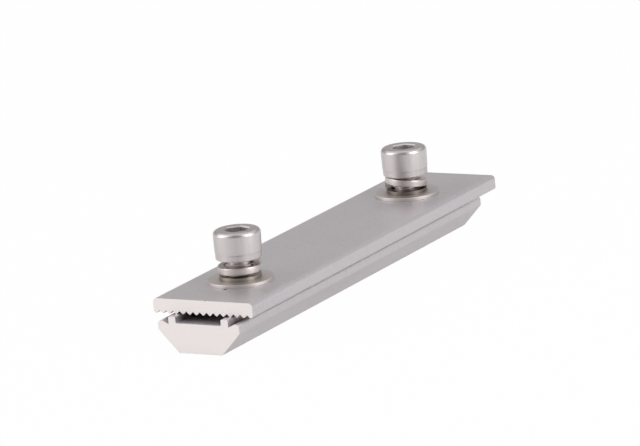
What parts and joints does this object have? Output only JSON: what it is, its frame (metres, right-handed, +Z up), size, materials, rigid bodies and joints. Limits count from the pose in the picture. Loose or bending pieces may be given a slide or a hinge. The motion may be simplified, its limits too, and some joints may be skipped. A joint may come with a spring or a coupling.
{
  "type": "solar rail splice",
  "caption": "Rail splice: a grooved keel bar and a serrated clamp plate drawn together over the rail's lips by socket head screws with spring and flat washers.",
  "frame": {"origin": "centre of the bar's flat bottom face", "axes": "+X along the bar towards its rear end, +Z up through the screws' heads, +Y across"},
  "size_m": [0.1449, 0.0306, 0.0284],
  "materials": {
    "bar": "extruded, clear anodised",
    "plate": "extruded, clear anodised, matt",
    "screw": "stainless, cold forged, satin",
    "spring_washer": "stainless, rolled bright",
    "flat_washer": "stainless, punched, bright"
  },
  "bodies": {
    "bar": {"splice_bar": "bar"},
    "plate": {"clamp_plate": "plate", "front_flat_washer": "flat_washer", "rear_flat_washer": "flat_washer", "front_small_washer": "flat_washer", "rear_small_washer": "flat_washer"},
    "front_spring_washer": {"front_spring_washer": "spring_washer"},
    "front_screw": {"front_screw": "screw"},
    "rear_spring_washer": {"rear_spring_washer": "spring_washer"},
    "rear_screw": {"rear_screw": "screw"}
  },
  "joints": [
    {"name": "plate_lift", "type": "slide", "parent": "bar", "child": "plate", "axis": [0, 0, 1], "range_m": [0, 0.0014], "deforming": ["front_spring_washer", "rear_spring_washer"]},
    {"name": "front_screw_advance", "type": "slide", "parent": "bar", "child": "front_spring_washer", "axis": [0, 0, 1], "range_m": [-0.00064, 0.00626]},
    {"name": "front_screw_turn", "type": "hinge", "parent": "front_spring_washer", "child": "front_screw", "pos_m": [-0.04605, 0, 0.02], "axis": [0, 0, 1], "range_deg": [-180, 1800]},
    {"name": "rear_screw_advance", "type": "slide", "parent": "bar", "child": "rear_spring_washer", "axis": [0, 0, 1], "range_m": [-0.00064, 0.00626]},
    {"name": "rear_screw_turn", "type": "hinge", "parent": "rear_spring_washer", "child": "rear_screw", "pos_m": [0.04995, 0, 0.02], "axis": [0, 0, 1], "range_deg": [-180, 1800]}
  ],
  "couplings": [
    {"joint": "front_screw_advance", "follows": "front_screw_turn", "m_per_rad": 0.00019894},
    {"joint": "rear_screw_advance", "follows": "rear_screw_turn", "m_per_rad": 0.00019894}
  ]
}
